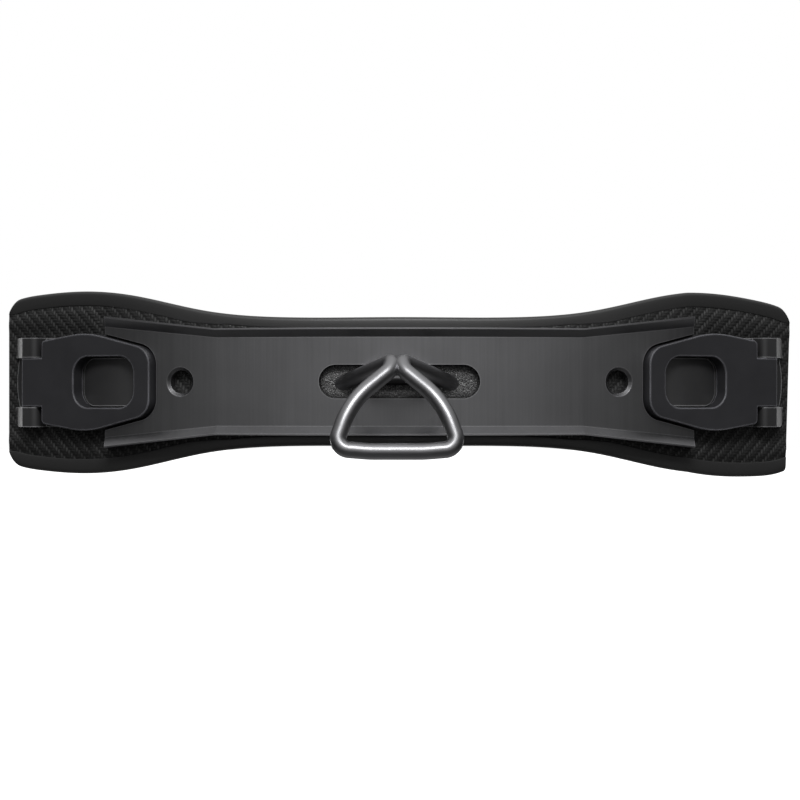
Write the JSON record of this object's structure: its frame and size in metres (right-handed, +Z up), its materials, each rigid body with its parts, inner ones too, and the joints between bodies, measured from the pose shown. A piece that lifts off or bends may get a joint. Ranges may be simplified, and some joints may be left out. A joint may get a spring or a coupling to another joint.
{
  "type": "harness spreader bar",
  "caption": "Curved metal spreader bar with a fixed bent-rod hook, flip-lever webbing buckles at both ends and a shaped back pad",
  "frame": {"origin": "middle of the hook slot, on the bar's recessed front face at its middle", "axes": "+X along the bar, +Z up when worn, -Y out of the front, the side the hook is on"},
  "size_m": [0.4191, 0.1317, 0.0979],
  "materials": {
    "bar_anodised": "dark grey satin anodised aluminium",
    "hook_steel": "satin gun-metal stainless steel",
    "hook_plate_blasted": "coarse bead-blasted dark stainless steel",
    "screw_steel": "stainless steel",
    "pad_twill": "black coated twill",
    "pad_shell": "black formed plastic sheet",
    "pad_foam": "black closed-cell foam",
    "pad_lining_fabric": "black knitted lining",
    "pad_trim": "smooth black moulded edge",
    "buckle_metal": "dark grey coated steel",
    "lever_metal": "near-black satin coated aluminium",
    "pin_steel": "stainless steel",
    "bush_plastic": "black acetal",
    "spring_steel": "spring steel"
  },
  "bodies": {
    "harness_bar": {"bar_shell": "bar_anodised", "hook_rod": "hook_steel", "hook_plate": "hook_plate_blasted", "hook_bridge": "hook_steel", "hook_plate_screws": "screw_steel", "pad_screws": "screw_steel", "pad_facing": "pad_twill", "pad_stiffener": "pad_shell", "pad_core": "pad_foam", "pad_lining": "pad_lining_fabric", "pad_trim_upper": "pad_trim", "pad_trim_lower": "pad_trim", "left_buckle_frame": "buckle_metal", "left_lever_pin": "pin_steel", "left_detent_spring": "spring_steel", "left_frame_rivets": "pin_steel", "right_buckle_frame": "buckle_metal", "right_lever_pin": "pin_steel", "right_detent_spring": "spring_steel", "right_frame_rivets": "pin_steel"},
    "right_lever_body": {"right_lever": "lever_metal", "right_lever_bush": "bush_plastic"},
    "left_lever_body": {"left_lever": "lever_metal", "left_lever_bush": "bush_plastic"}
  },
  "joints": [
    {"name": "right_lever_hinge", "type": "hinge", "parent": "harness_bar", "child": "right_lever_body", "pos_m": [0.19273, 0.05335, 0], "axis": [0, 0, 1], "range_deg": [0, 105]},
    {"name": "left_lever_hinge", "type": "hinge", "parent": "harness_bar", "child": "left_lever_body", "pos_m": [-0.19273, 0.05335, 0], "axis": [0, 0, -1], "range_deg": [0, 105]}
  ]
}
